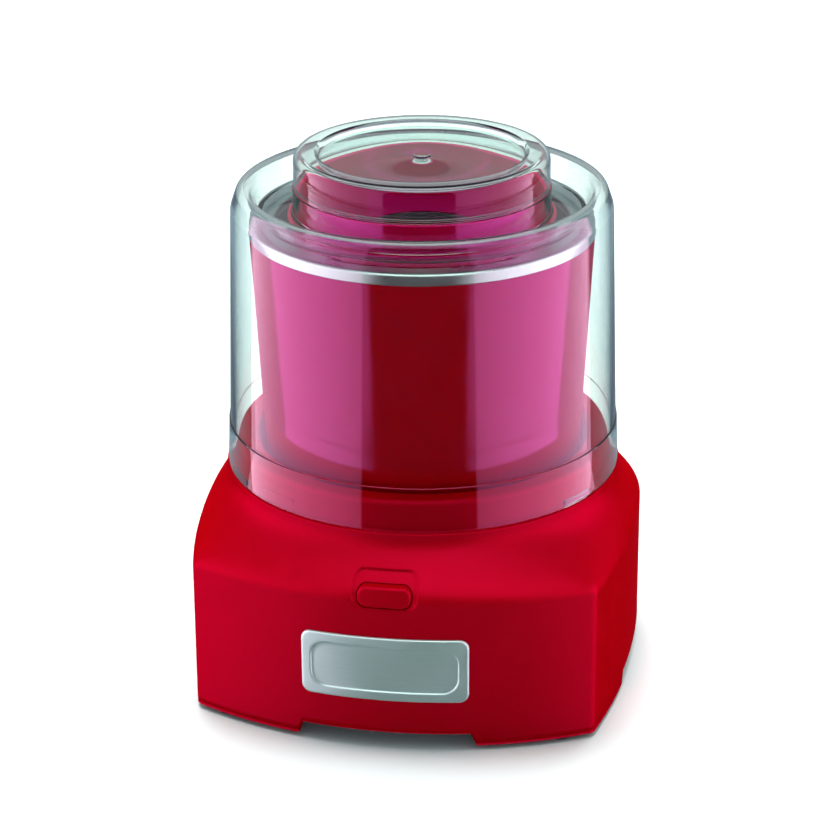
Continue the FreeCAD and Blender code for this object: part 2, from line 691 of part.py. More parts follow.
def lid_moulding():
    """Clear lid: tapered wall with a stepped skirt, rolled crest, trough and spout collar."""
    step = 0.6
    wall_r = LID_R0 - 0.04 * (SKIRT_TOP - LID_Z0)
    lid = lathe([
        (LID_R0, LID_Z0, 0.5), (wall_r, SKIRT_TOP, 0.8), (wall_r - step, SKIRT_TOP + 0.3, 0.2),
        (LID_R1, LID_SHOULDER_Z, 6.0), (CREST_R + 3.2, CREST_Z, 5.0), (CREST_R - 3.0, CREST_Z, 4.0),
        (FLOOR_R + 1.4, FLOOR_Z, 2.6), (COLLAR_R, FLOOR_Z, 1.6), (COLLAR_R, COLLAR_TOP, 0.4),
        (COLLAR_BORE + 0.6, COLLAR_TOP), (COLLAR_BORE + 0.6, COLLAR_TOP + 1.4),
        (COLLAR_BORE, COLLAR_TOP + 1.4), (COLLAR_BORE, FLOOR_Z - LID_T),
        (FLOOR_R - 0.4, FLOOR_Z - LID_T, 0.8), (FLOOR_R + 0.2 + LID_T, FLOOR_Z + 1.5, 1.2),
        (CREST_R - 1.6, CREST_Z - LID_T, 2.0), (CREST_R + 2.0, CREST_Z - LID_T, 3.0),
        (LID_R1 - LID_T, LID_SHOULDER_Z - 1.0, 4.0), (LID_R0 - 1.2 - LID_T, SKIRT_TOP, 0.5),
        (LID_R0 - LID_T, LID_Z0, 0.5),
    ])
    return lid.fuse(lid_tabs())


def lid_parts():
    """The moulding as four simple rings that meet face to face."""
    lid = lid_moulding()
    beyond, above = LID_R0 + 5, CAP_TOP
    upper = lid.common(disc(beyond, LID_SPLIT_Z, above))
    return {
        "lid_wall": lid.common(disc(beyond, LID_Z0 - 1, LID_SPLIT_Z)),
        "lid_crest": upper.cut(disc(TROUGH_OUT, LID_SPLIT_Z - 1, above)),
        "lid_trough": upper.common(tube(TROUGH_OUT, TROUGH_IN, LID_SPLIT_Z - 1, above)),
        "lid_collar": upper.common(disc(TROUGH_IN, LID_SPLIT_Z - 1, above)),
    }


def spout_ring():
    """Red tube in the collar; its flange hooks under the lid and its slots hold the arm's bar."""
    ring = tube(SPOUT_OUT, SPOUT_IN, SPOUT_Z0, SPOUT_Z1)
    flange_top = FLOOR_Z - LID_T - 0.3
    ring = ring.fuse(tube(SPOUT_OUT + 5, SPOUT_IN + 1, flange_top - 2.0, flange_top))
    slot = block(-80, 80, -ARM_BAR_HALF - ARM_GAP, ARM_BAR_HALF + ARM_GAP, SPOUT_Z0 - 1,
                 ARM_BAR_Z1 + ARM_GAP)
    return ring.cut(slot)


def cap_moulding():
    """Clear cap with a sunk top and a small centre nub."""
    z0 = COLLAR_TOP + 0.25
    rebate = COLLAR_BORE + 0.9
    inner = CAP_R - CAP_T
    under = CAP_TOP - CAP_T
    return lathe([
        (rebate, z0), (CAP_R, z0, 0.3), (CAP_R - 0.2, CAP_TOP, 4.6), (CAP_DISH_R, CAP_TOP, 2.0),
        (CAP_DISH_R - 0.6, CAP_TOP - CAP_DISH, 0.8), (NUB_R, CAP_TOP - CAP_DISH),
        (NUB_R, CAP_TOP - CAP_DISH + 1.3, 0.8), (0, CAP_TOP - CAP_DISH + 1.3),
        (0, under - CAP_DISH), (CAP_DISH_R + 0.6, under - CAP_DISH, 1.5),
        (CAP_DISH_R + 1.4, under, 0.8), (inner, under, 2.8), (inner, z0 + 1.9), (rebate, z0 + 1.9),
    ])


def cap_parts():
    """The cap as a wall and a top that meet face to face."""
    cap = cap_moulding()
    beyond = CAP_R + 5
    return {
        "cap_wall": cap.common(disc(beyond, COLLAR_TOP - 1, CAP_SPLIT_Z)),
        "cap_top": cap.common(disc(beyond, CAP_SPLIT_Z, CAP_TOP + 1)),
    }


# ---------------------------------------------------------------- fasteners
def cover_screws():
    return Part.makeCompound([screw(c, COVER_Z0, 28, 1.6, 3.2, 2.2) for c in cover_boss_centres()])


def gearbox_screws():
    return Part.makeCompound([screw(c, BOX_Z0, WELL_FLOOR - 2.2, 1.9, 4.0, 2.6)
                              for c in gearbox_screw_centres()])


def motor_screws():
    return Part.makeCompound([screw(c, MOTOR_Z1 - 1.6, BOX_Z0 + 2.8, 1.6, 3.0, 2.0)
                              for c in motor_ear_centres()])


# ---------------------------------------------------------------- all parts
def build():
    parts = {
        "base_housing": base_housing(), "bottom_cover": bottom_cover(), "nameplate": nameplate(),
        "power_button": power_button(), "switch_body": switch_body(), "cord_gland": cord_gland(),
        "gearbox_housing": gearbox_housing(), "gearbox_cover": gearbox_cover(),
        "idler_axle": disc(AXLE_R, BOX_Z0, BOX_COVER_Z1, IDLER_XY), "idler_gear": idler_gear(),
        "output_gear": output_gear(), "output_shaft": disc(SHAFT_R, BOX_Z0 + 1, 109.0),
        "output_bush": output_bush(), "drive_coupler": drive_coupler(), "motor_can": motor_can(),
        "motor_mount_ring": motor_mount_ring(), "motor_stator": motor_stator(),
        "motor_windings": motor_windings(), "motor_bushes": motor_bushes(),
        "motor_pinion": motor_pinion(), "rotor_core": rotor_core(),
        "rotor_shaft": disc(ROTOR_SHAFT_R, 14.5, 75, MOTOR_XY), "cooling_fan": cooling_fan(),
        "bowl_shell": bowl_shell(), "bowl_liner": bowl_liner(), "bowl_rim": bowl_rim(),
        "bowl_coolant": bowl_coolant(), "bowl_socket": bowl_socket(), "mixing_arm": mixing_arm(),
        "spout_ring": spout_ring(),
        "cover_screws": cover_screws(), "gearbox_screws": gearbox_screws(),
        "motor_screws": motor_screws(),
    }
    for name, at in foot_centres().items():
        parts[name] = foot(at)
    parts.update(lid_parts())
    parts.update(cap_parts())
    return parts


def main():
    parts = build()
    os.makedirs("parts", exist_ok=True)
    for name, shape in parts.items():
        solids = shape.Solids
        flag = "" if shape.isValid() and all(s.isClosed() for s in solids) else "  NOT VALID"
        print(f"{name:20s} solids {len(solids)}  volume {shape.Volume / 1000:9.2f} cm3{flag}")
        whole = solids[0] if len(solids) == 1 else Part.makeCompound(solids)
        moved(whole, 0, SHIFT_Y, 0).exportStep(f"parts/{name}.step")


main()
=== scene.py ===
"""Looks of the countertop ice cream maker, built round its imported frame.

Metres in the finished meshes, +Z up, front towards -Y. Shapes are drawn in millimetres about the bowl
axis and moved onto it by add_mesh.
"""
import json
import math
import bmesh
import bpy
import numpy as np
from mathutils import Matrix, Vector


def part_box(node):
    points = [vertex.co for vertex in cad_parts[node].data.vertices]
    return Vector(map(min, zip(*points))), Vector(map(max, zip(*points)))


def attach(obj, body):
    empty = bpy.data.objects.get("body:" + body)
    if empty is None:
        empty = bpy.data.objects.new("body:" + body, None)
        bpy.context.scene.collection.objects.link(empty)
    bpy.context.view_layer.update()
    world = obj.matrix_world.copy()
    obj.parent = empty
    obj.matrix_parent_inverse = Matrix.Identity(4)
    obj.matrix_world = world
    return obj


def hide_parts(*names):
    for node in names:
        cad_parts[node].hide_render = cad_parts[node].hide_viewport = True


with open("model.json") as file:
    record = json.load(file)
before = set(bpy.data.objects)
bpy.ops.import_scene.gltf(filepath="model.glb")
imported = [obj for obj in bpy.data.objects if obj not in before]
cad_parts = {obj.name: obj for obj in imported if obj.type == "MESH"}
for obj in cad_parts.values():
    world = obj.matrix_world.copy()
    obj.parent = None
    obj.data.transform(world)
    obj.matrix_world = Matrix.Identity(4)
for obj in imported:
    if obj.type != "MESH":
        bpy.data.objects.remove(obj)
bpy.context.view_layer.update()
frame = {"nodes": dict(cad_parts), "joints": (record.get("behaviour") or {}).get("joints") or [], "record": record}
MM = 0.001
JOINTS = {joint["name"]: joint for joint in frame["joints"]}
AXIS = np.array([JOINTS["bowl_spin"]["pos_m"][0], JOINTS["bowl_spin"]["pos_m"][1], 0.0])
BODIES = frame["record"]["behaviour"]["bodies"]


def span(*nodes):
    """Lowest and highest corners of one or more CAD nodes, in mm about the bowl axis."""
    boxes = [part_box(node) for node in nodes]
    low = np.min([box[0] for box in boxes], axis=0)
    high = np.max([box[1] for box in boxes], axis=0)
    return (low - AXIS) / MM, (high - AXIS) / MM


# ---------------------------------------------------------------- sizes, mm
HOUSING_LOW, HOUSING_HIGH = span("base_housing")
LID_LOW, LID_HIGH = span(*BODIES["lid"])
CAP_LOW, CAP_HIGH = span(*BODIES["cap"])
RING_LOW, RING_HIGH = span("spout_ring")
BOWL_LOW, BOWL_HIGH = span("bowl_shell")
RIM_LOW, RIM_HIGH = span("bowl_rim")
LINER_LOW, LINER_HIGH = span("bowl_liner")
PLATE_LOW, PLATE_HIGH = span("nameplate")
BUTTON_LOW, BUTTON_HIGH = span("power_button")
GLAND_LOW, GLAND_HIGH = span("cord_gland")

BASE_Z0 = HOUSING_LOW[2]
DRAFT = 0.0045
BASE_SIDE = 120.65
BASE_FRONT = PLATE_LOW[1] * -1 - 1.43
BASE_BACK = 112.0
SIDE_BOW_R, FRONT_BOW_R, BACK_BOW_R = 429.0, 221.0, 300.0
FRONT_CORNER_R, BACK_CORNER_R = 6.0, 90.0
SHOULDER_Z0, SHOULDER_Z1 = 84.0, 112.0
DECK_Z, DECK_R, DECK_BOW_R, DECK_CORNER_R = 113.7, 108.6, 108.75, 107.0
WALL = 2.8
PEDESTAL_OUT, PEDESTAL_IN, PEDESTAL_TOP = 103.5, 91.5, HOUSING_HIGH[2]
WELL_FLOOR, WELL_R = 100.8, 86.0
NOTCH_HALF, NOTCH_TOP, NOTCH_SLANT = 45.3, 9.7, 2.2


def smooth(t):
    """Smooth step from 0 to 1."""
    t = np.clip(t, 0.0, 1.0)
    return t * t * (3 - 2 * t)


# ---------------------------------------------------------------- mesh helpers
def placed(name, data):
    """An object for a mesh, lamp or camera, linked to the scene."""
    made = bpy.data.objects.new(name, data)
    bpy.context.scene.collection.objects.link(made)
    return made


def closed_mesh(name, points, faces):
    """A mesh from points in mm about the bowl axis, with its faces turned outwards."""
    mesh = bpy.data.meshes.new(name)
    mesh.from_pydata((np.asarray(points, float) * MM + AXIS).tolist(), [], faces)
    work = bmesh.new()
    work.from_mesh(mesh)
    bmesh.ops.recalc_face_normals(work, faces=work.faces)
    work.to_mesh(mesh)
    work.free()
    return mesh


def add_mesh(name, points, faces, body, slot, replaced=(), sharp=35.0, finish=None):
    """A piece that rides on a body. Its material is the slot's, or finish if that is given."""
    mesh = closed_mesh(name, points, faces)
    mesh.shade_smooth()
    mesh.set_sharp_from_angle(angle=math.radians(sharp))
    piece = placed(name, mesh)
    mesh.materials.append(MATERIALS[finish or slot])
    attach(piece, body)
    if replaced:
        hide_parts(*replaced)
    return piece


def rounded(corners, closed=True, step=9.0):
    """Points of an outline given as (r, z[, radius]) corners, with each rounded corner as an arc."""
    count = len(corners)
    out = []
    for i, corner in enumerate(corners):
        p = np.array(corner[:2], float)
        radius = corner[2] if len(corner) > 2 else 0.0
        if radius <= 0 or (not closed and i in (0, count - 1)):
            out.append(p)
            continue
        u = np.array(corners[i - 1][:2], float) - p
        v = np.array(corners[(i + 1) % count][:2], float) - p
        u /= np.linalg.norm(u)
        v /= np.linalg.norm(v)
        half = math.acos(float(np.clip(u @ v, -1, 1))) / 2
        centre = p + (u + v) / np.linalg.norm(u + v) * radius / math.sin(half)
        first = p + u * radius / math.tan(half) - centre
        last = p + v * radius / math.tan(half) - centre
        a0 = math.atan2(first[1], first[0])
        turn = (math.atan2(last[1], last[0]) - a0 + math.pi) % (2 * math.pi) - math.pi
        steps = max(3, math.ceil(abs(math.degrees(turn)) / step))
        for k in range(steps + 1):
            a = a0 + turn * k / steps
            out.append(centre + radius * np.array([math.cos(a), math.sin(a)]))
    return np.array(out)


def revolve(outline, segments, at=(0.0, 0.0)):
    """Points and faces of a closed (r, z) outline turned about a vertical line."""
    points, rows = [], []
    for r, z in outline:
        if r < 1e-6:
            rows.append([len(points)] * segments)
            points.append((at[0], at[1], z))
            continue
        rows.append(list(range(len(points), len(points) + segments)))
        for k in range(segments):
            a = 2 * math.pi * k / segments
            points.append((at[0] + r * math.cos(a), at[1] + r * math.sin(a), z))
    faces = []
    for i, row in enumerate(rows):
        after = rows[(i + 1) % len(rows)]
        for k in range(segments):
            n = (k + 1) % segments
            ring = [row[k], row[n], after[n], after[k]]
            face = [v for j, v in enumerate(ring) if v not in ring[:j]]
            if len(face) > 2:
                faces.append(face)
    return points, faces


def lathe(name, corners, body, slot, replaced=(), segments=192, at=(0.0, 0.0), finish=None):
    """A turned piece from a rounded outline."""
    points, faces = revolve(rounded(corners), segments, at)
    return add_mesh(name, points, faces, body, slot, replaced, finish=finish)


def joined(parts):
    """Several (points, faces) meshes as one."""
    points, faces = [], []
    for more_points, more_faces in parts:
        start = len(points)
        points += list(more_points)
        faces += [[v + start for v in face] for face in more_faces]
    return points, faces


def band(a, b, count):
    """Quads between two closed loops of count points that start at indices a and b."""
    return [[a + k, a + (k + 1) % count, b + (k + 1) % count, b + k] for k in range(count)]


def sector(r0, r1, z0, z1, middle, width, steps=10):
    """A curved block between two radii, two heights and two angles, in degrees."""
    points, faces = [], []
    for k in range(steps + 1):
        a = math.radians(middle + width * (k / steps - 0.5))
        for r, z in ((r0, z0), (r1, z0), (r1, z1), (r0, z1)):
            points.append((r * math.cos(a), r * math.sin(a), z))
    for k in range(steps):
        faces += band(4 * k, 4 * k + 4, 4)
    faces += [[3, 2, 1, 0], [4 * steps, 4 * steps + 1, 4 * steps + 2, 4 * steps + 3]]
    return points, faces


def soften(piece, width, segments=3, angle=40.0):
    """Rounds a piece's sharp edges with a bevel."""
    bevel = piece.modifiers.new("soft_edges", "BEVEL")
    bevel.width = width * MM
    bevel.segments = segments
    bevel.limit_method = "ANGLE"
    bevel.angle_limit = math.radians(angle)
    bevel.harden_normals = True
    return piece


def carve(piece, cutters):
    """Cuts (points, faces) shapes out of a piece and keeps the result as its mesh."""
    helpers = []
    for i, (points, faces) in enumerate(cutters):
        helper = placed(f"cutter_{i}", closed_mesh(f"cutter_{i}", points, faces))
        helpers.append(helper)
        cut = piece.modifiers.new("cut", "BOOLEAN")
        cut.operation = "DIFFERENCE"
        cut.solver = "EXACT"
        cut.object = helper
    bpy.context.view_layer.update()
    result = piece.evaluated_get(bpy.context.evaluated_depsgraph_get())
    mesh = bpy.data.meshes.new_from_object(result)
    piece.modifiers.clear()
    piece.data = mesh
    for helper in helpers:
        bpy.data.objects.remove(helper)
    return piece


def pill(half, z0, z1, radius, edge_steps=(22, 8, 9)):
    """Points (x, z) of a rounded rectangle, anticlockwise from the middle of the right side."""
    long_steps, short_steps, corner_steps = edge_steps
    radius = min(radius, half - 0.01, (z1 - z0) / 2 - 0.01)
    zm = (z0 + z1) / 2
    inner_x, inner_z = half - radius, (z1 - z0) / 2 - radius
    quarter = [(half, inner_z * k / short_steps) for k in range(short_steps)]
    for k in range(corner_steps + 1):
        a = math.pi / 2 * k / corner_steps
        quarter.append((inner_x + radius * math.cos(a), inner_z + radius * math.sin(a)))
    quarter += [(inner_x * (1 - k / long_steps), inner_z + radius) for k in range(1, long_steps + 1)]
    upper = quarter + [(-x, z) for x, z in reversed(quarter[:-1])]
    lower = [(x, -z) for x, z in reversed(upper[1:-1])]
    return np.array([(x, z + zm) for x, z in upper + lower])


def stacked(loops):
    """Points and faces of a closed skin over loops of equal length; its two ends are filled across."""
    count = len(loops[0])
    points = [tuple(p) for loop in loops for p in loop]
    faces = []
    for i in range(len(loops) - 1):
        faces += band(i * count, (i + 1) * count, count)
    for start in (0, (len(loops) - 1) * count):
        half = count // 2
        for k in range(half):
            ring = [start + k, start + k + 1, start + (count - k - 1) % count, start + (count - k) % count]
            face = [v for j, v in enumerate(ring) if v not in ring[:j]]
            if len(face) > 2:
                faces.append(face)
    return points, faces


# ---------------------------------------------------------------- materials
def node(tree, kind, **inputs):
    made = tree.nodes.new(kind)
    for key, value in inputs.items():
        made.inputs[key.replace("_", " ")].default_value = value
    return made


def start_material(name):
    made = bpy.data.materials.new(name)
    made.use_nodes = True
    tree = made.node_tree
    shader = tree.nodes["Principled BSDF"]
    where = tree.nodes.new("ShaderNodeTexCoord")
    return made, tree, shader, where.outputs["Object"]


NOISE_LOW, NOISE_HIGH = 0.3, 0.7


def varied(tree, source, low, high):
    """Maps a noise value onto a range."""
    spread = node(tree, "ShaderNodeMapRange", From_Min=NOISE_LOW, From_Max=NOISE_HIGH, To_Min=low,
                  To_Max=high)
    tree.links.new(source, spread.inputs["Value"])
    return spread.outputs["Result"]


def step_up(tree, source, low, high):
    """Rises smoothly from 0 at low to 1 at high, or falls if low is above high."""
    rise = node(tree, "ShaderNodeMapRange", From_Min=low, From_Max=high)
    rise.interpolation_type = "SMOOTHSTEP"
    tree.links.new(source, rise.inputs["Value"])
    return rise.outputs["Result"]


def blended(tree, factor, first, second):
    """Mixes two colours, each an RGB tuple or an output socket."""
    mix = tree.nodes.new("ShaderNodeMix")
    mix.data_type = "RGBA"
    tree.links.new(factor, mix.inputs["Factor"])
    for name, colour in (("A", first), ("B", second)):
        if isinstance(colour, tuple):
            mix.inputs[name].default_value = (*colour, 1)
        else:
            tree.links.new(colour, mix.inputs[name])
    return mix.outputs["Result"]


def maths(tree, operation, first, second=None):
    """One Math node; first is a socket, second a number, a socket or absent."""
    made = node(tree, "ShaderNodeMath")
    made.operation = operation
    tree.links.new(first, made.inputs[0])
    if isinstance(second, float):
        made.inputs[1].default_value = second
    elif second:
        tree.links.new(second, made.inputs[1])
    return made.outputs[0]


def mixed_surface(tree, factor, first, second):
    """Mixes two shaders into the material's surface; factor is a number or a socket."""
    mix = node(tree, "ShaderNodeMixShader")
    if isinstance(factor, float):
        mix.inputs[0].default_value = factor
    else:
        tree.links.new(factor, mix.inputs[0])
    tree.links.new(first.outputs["BSDF"], mix.inputs[1])
    tree.links.new(second.outputs["BSDF"], mix.inputs[2])
    tree.links.new(mix.outputs["Shader"], tree.nodes["Material Output"].inputs["Surface"])


def noise(tree, where, scale, detail=3.0, stretch=None):
    """Noise at a scale per metre, stretched by a vector if given."""
    if stretch:
        mapping = tree.nodes.new("ShaderNodeMapping")
        mapping.inputs["Scale"].default_value = stretch
        tree.links.new(where, mapping.inputs["Vector"])
        where = mapping.outputs["Vector"]
    made = node(tree, "ShaderNodeTexNoise", Scale=scale, Detail=detail)
    tree.links.new(where, made.inputs["Vector"])
    return made.outputs["Fac"]


def tint(tree, source, colour, shift, socket):
    """Blends a colour with a slightly lighter or darker one by a noise value."""
    darker = tuple(c * (1 - shift) for c in colour)
    lighter = tuple(min(1.0, c * (1 + shift)) for c in colour)
    tree.links.new(blended(tree, source, darker, lighter), socket)


def bumped(tree, shader, layers):
    """Chains (height, strength, distance) layers of bump into the shader's normal."""
    previous = None
    for height, strength, distance in layers:
        bump = node(tree, "ShaderNodeBump", Strength=strength, Distance=distance)
        tree.links.new(height, bump.inputs["Height"])
        if previous:
            tree.links.new(previous, bump.inputs["Normal"])
        previous = bump.outputs["Normal"]
    tree.links.new(previous, shader.inputs["Normal"])


def moulded(name, colour, roughness, grain, ripple=0.05, shift=0.03, gloss=None, **sockets):
    """Moulded plastic: fine grain, faint sink ripples and slightly uneven gloss.

    gloss is the share and the tint of a coloured reflection, in place of the usual white one.
    """
    made, tree, shader, where = start_material(name)
    tint(tree, noise(tree, where, 35, 2), colour, shift, shader.inputs["Base Color"])
    low, high = roughness
    tree.links.new(varied(tree, noise(tree, where, 60, 4), low, high), shader.inputs["Roughness"])
    bumped(tree, shader, [
        (noise(tree, where, 22, 1), ripple, 0.002),
        (noise(tree, where, 1500, 2), grain, 0.0002),
    ])
    for key, value in sockets.items():
        shader.inputs[key.replace("_", " ")].default_value = value
    if gloss:
        share, sheen = gloss
        shader.inputs["Specular IOR Level"].default_value = 0.0
        mirror = node(tree, "ShaderNodeBsdfPrincipled", Metallic=1.0)
        mirror.inputs["Base Color"].default_value = (*sheen, 1)
        mirror.inputs["Specular Tint"].default_value = (*sheen, 1)
        for socket in ("Roughness", "Normal"):
            tree.links.new(shader.inputs[socket].links[0].from_socket, mirror.inputs[socket])
        mixed_surface(tree, share, shader, mirror)
    return made


def metal(name, colour, roughness, stretch, grain=0.25, shift=0.06, metallic=1.0):
    """Metal with fine directional grain; stretch sets the direction of the lines."""
    made, tree, shader, where = start_material(name)
    lines = noise(tree, where, 1.0, 4, stretch)
    patches = noise(tree, where, 45, 3)
    tint(tree, lines, colour, shift, shader.inputs["Base Color"])
    low, high = roughness
    tree.links.new(varied(tree, patches, low, high), shader.inputs["Roughness"])
    bumped(tree, shader, [(lines, grain, 0.00008), (patches, 0.04, 0.0006)])
    shader.inputs["Metallic"].default_value = metallic
    return made


# Half the height over which the painted shade on the liner fades into the lit colour above it.
PAINTED_SHADE_EDGE = 0.002


def turned_metal(name, colour, roughness, grain=0.25, shift=0.05, painted_shade_line=None):
    """Metal with rings of fine grain round the bowl axis, as left by spinning.

    The last argument, if given, is a height and a colour: below that height the metal keeps its dark base colour
    as painted shade, and above it takes that colour.
    """
    made, tree, shader, where = start_material(name)
    centred = tree.nodes.new("ShaderNodeVectorMath")
    centred.operation = "SUBTRACT"
    centred.inputs[1].default_value = tuple(AXIS)
    tree.links.new(where, centred.inputs[0])
    flat = tree.nodes.new("ShaderNodeVectorMath")
    flat.operation = "MULTIPLY"
    flat.inputs[1].default_value = (1, 1, 0)
    tree.links.new(centred.outputs["Vector"], flat.inputs[0])
    radius = tree.nodes.new("ShaderNodeVectorMath")
    radius.operation = "LENGTH"
    tree.links.new(flat.outputs["Vector"], radius.inputs[0])
    split = tree.nodes.new("ShaderNodeSeparateXYZ")
    tree.links.new(where, split.inputs[0])
    rings = tree.nodes.new("ShaderNodeCombineXYZ")
    tree.links.new(radius.outputs["Value"], rings.inputs["X"])
    tree.links.new(split.outputs["Z"], rings.inputs["Z"])
    lines = noise(tree, rings.outputs["Vector"], 1600, 3)
    patches = noise(tree, where, 40, 3)
    tint(tree, lines, colour, shift, shader.inputs["Base Color"])
    low, high = roughness
    tree.links.new(varied(tree, patches, low, high), shader.inputs["Roughness"])
    bumped(tree, shader, [(lines, grain, 0.00008), (patches, 0.03, 0.0006)])
    shader.inputs["Metallic"].default_value = 1.0
    # Painted shade: below the height, the dark base colour stands for the shade deep in the bowl; above it, the
    # lit colour is blended in.
    if painted_shade_line:
        height, bright = painted_shade_line
        above = step_up(tree, split.outputs["Z"], height - PAINTED_SHADE_EDGE, height + PAINTED_SHADE_EDGE)
        lower = shader.inputs["Base Color"].links[0].from_socket
        tree.links.new(blended(tree, above, lower, bright), shader.inputs["Base Color"])
    return made


CLEAR_SHEEN = (1.0, 0.35, 0.8)
CLEAR_PASS = 0.97


def clear(name, colour, roughness, ior):
    """Clear moulded plastic. Lamps reach what is behind it, as they do through a thin wall."""
    made, tree, shader, where = start_material(name)
    shader.inputs["Base Color"].default_value = (*colour, 1)
    shader.inputs["Transmission Weight"].default_value = 1.0
    shader.inputs["Specular Tint"].default_value = (*CLEAR_SHEEN, 1)
    shader.inputs["IOR"].default_value = ior
    low, high = roughness
    tree.links.new(varied(tree, noise(tree, where, 55, 4), low, high), shader.inputs["Roughness"])
    bumped(tree, shader, [(noise(tree, where, 18, 1), 0.035, 0.002)])
    passed = tree.nodes.new("ShaderNodeBsdfTransparent")
    passed.inputs["Color"].default_value = (*[c * CLEAR_PASS for c in colour], 1)
    path = tree.nodes.new("ShaderNodeLightPath")
    mixed_surface(tree, path.outputs["Is Shadow Ray"], shader, passed)
    return made


MATERIALS = {
    "red_plastic": moulded("red_plastic", (0.35, 0.0004, 0.0012), (0.33, 0.42), 0.10,
                           gloss=(0.13, (1.0, 0.007, 0.09))),
    "bowl_red": moulded("bowl_red", (0.36, 0.0006, 0.002), (0.10, 0.15), 0.003, ripple=0.02,
                        gloss=(0.14, (1.0, 0.20, 0.76))),
    "ring_red": moulded("ring_red", (0.60, 0.0004, 0.035), (0.09, 0.15), 0.003, ripple=0.02,
                        gloss=(0.19, (1.0, 0.04, 0.72))),
    "clear_plastic": clear("clear_plastic", (0.855, 0.912, 0.905), (0.0, 0.02), 1.47),
    "grey_plastic": moulded("grey_plastic", (0.05, 0.05, 0.053), (0.45, 0.6), 0.35),
    "black_plastic": moulded("black_plastic", (0.012, 0.012, 0.013), (0.38, 0.52), 0.25),
    "nylon": moulded("nylon", (0.72, 0.70, 0.62), (0.35, 0.48), 0.12, Subsurface_Weight=0.15,
                     Subsurface_Scale=0.002),
    "white_plastic": moulded("white_plastic", (0.80, 0.80, 0.78), (0.24, 0.34), 0.06,
                             Subsurface_Weight=0.1, Subsurface_Scale=0.002),
    "rubber": moulded("rubber", (0.014, 0.014, 0.015), (0.62, 0.8), 0.5, ripple=0.1),
    "plate_metal": metal("plate_metal", (0.62, 0.86, 0.82), (0.34, 0.44), (60, 60, 5200), 0.4, 0.10,
                         metallic=0.7),
    "aluminium": turned_metal("aluminium", (0.64, 0.76, 0.74), (0.26, 0.36)),
    # Liner metal: dark below 0.233 m as painted shade inside the bowl, lit metal colour above.
    "spun_painted_shade": turned_metal("spun_painted_shade", (0.09, 0.09, 0.095), (0.12, 0.2),
                                painted_shade_line=(0.233, (0.60, 0.66, 0.65))),
    "steel": metal("steel", (0.52, 0.52, 0.53), (0.26, 0.38), (900, 900, 900)),
    "lamination": metal("lamination", (0.26, 0.26, 0.28), (0.4, 0.55), (15, 15, 2600), 0.8, 0.2),
    "copper": metal("copper", (0.62, 0.24, 0.09), (0.22, 0.34), (40, 40, 2200), 0.9, 0.15),
    "bronze": metal("bronze", (0.55, 0.36, 0.17), (0.38, 0.5), (1500, 1500, 1500)),
    "coolant": moulded("coolant", (0.42, 0.62, 0.72), (0.3, 0.45), 0.1, ripple=0.2),
}


# ---------------------------------------------------------------- base
def outline_radius(angle, z, inset):
    """Distance from the bowl axis to the base's outline, for arrays of angles and heights."""
    blend = smooth((z - SHOULDER_Z0) / (SHOULDER_Z1 - SHOULDER_Z0))
    lean = DRAFT * (z - BASE_Z0)
    front = np.sin(angle) < 0

    def size(full):
        return full - lean + (DECK_R - full + lean) * blend - inset

    def bow(full):
        return 1 / ((1 - blend) / full + blend / DECK_BOW_R) - inset

    side, side_r = size(BASE_SIDE), bow(SIDE_BOW_R)
    end = size(np.where(front, BASE_FRONT, BASE_BACK))
    end_r = bow(np.where(front, FRONT_BOW_R, BACK_BOW_R))
    corner = np.where(front, FRONT_CORNER_R, BACK_CORNER_R)
    corner = np.maximum(corner + (DECK_CORNER_R - corner) * blend - inset, 1.5)
    ax, by = side - side_r, end - end_r
    ra, rb = side_r - corner, end_r - corner
    gap = np.hypot(ax, by)
    along = (ra * ra - rb * rb + gap * gap) / (2 * gap)
    across = np.sqrt(np.maximum(ra * ra - along * along, 0.0))
    ux, uy = -ax / gap, by / gap
    first = (ax + ux * along + uy * across, uy * along - ux * across)
    second = (ax + ux * along - uy * across, uy * along + ux * across)
    better = first[0] + first[1] > second[0] + second[1]
    cx = np.where(better, first[0], second[0])
    cy = np.where(better, first[1], second[1])

    to_side = np.hypot(cx - ax, cy)
    to_end = np.hypot(cx, cy - by)
    start = np.arctan2(cy / to_side * side_r, ax + (cx - ax) / to_side * side_r)
    stop = np.arctan2(by + (cy - by) / to_end * end_r, cx / to_end * end_r)
    turn = np.arctan2(np.abs(np.sin(angle)), np.abs(np.cos(angle)))
    on_side, on_end = turn < start, turn > stop
    px = np.where(on_side, ax, np.where(on_end, 0.0, cx))
    py = np.where(on_side, 0.0, np.where(on_end, by, cy))
    pr = np.where(on_side, side_r, np.where(on_end, end_r, corner))
    reach = px * np.cos(turn) + py * np.sin(turn)
    return reach + np.sqrt(pr * pr - px * px - py * py + reach * reach)


def front_wall(x, z, inset=0.0):
    """Y of the base's front wall at x and z."""
    x, z = np.broadcast_arrays(np.asarray(x, float), np.asarray(z, float))
    angle = np.arctan2(np.full(x.shape, -BASE_FRONT), x)
    for _ in range(8):
        radius = outline_radius(angle, z, inset)
        angle = np.arctan2(radius * np.sin(angle), x)
    return outline_radius(angle, z, inset) * np.sin(angle)


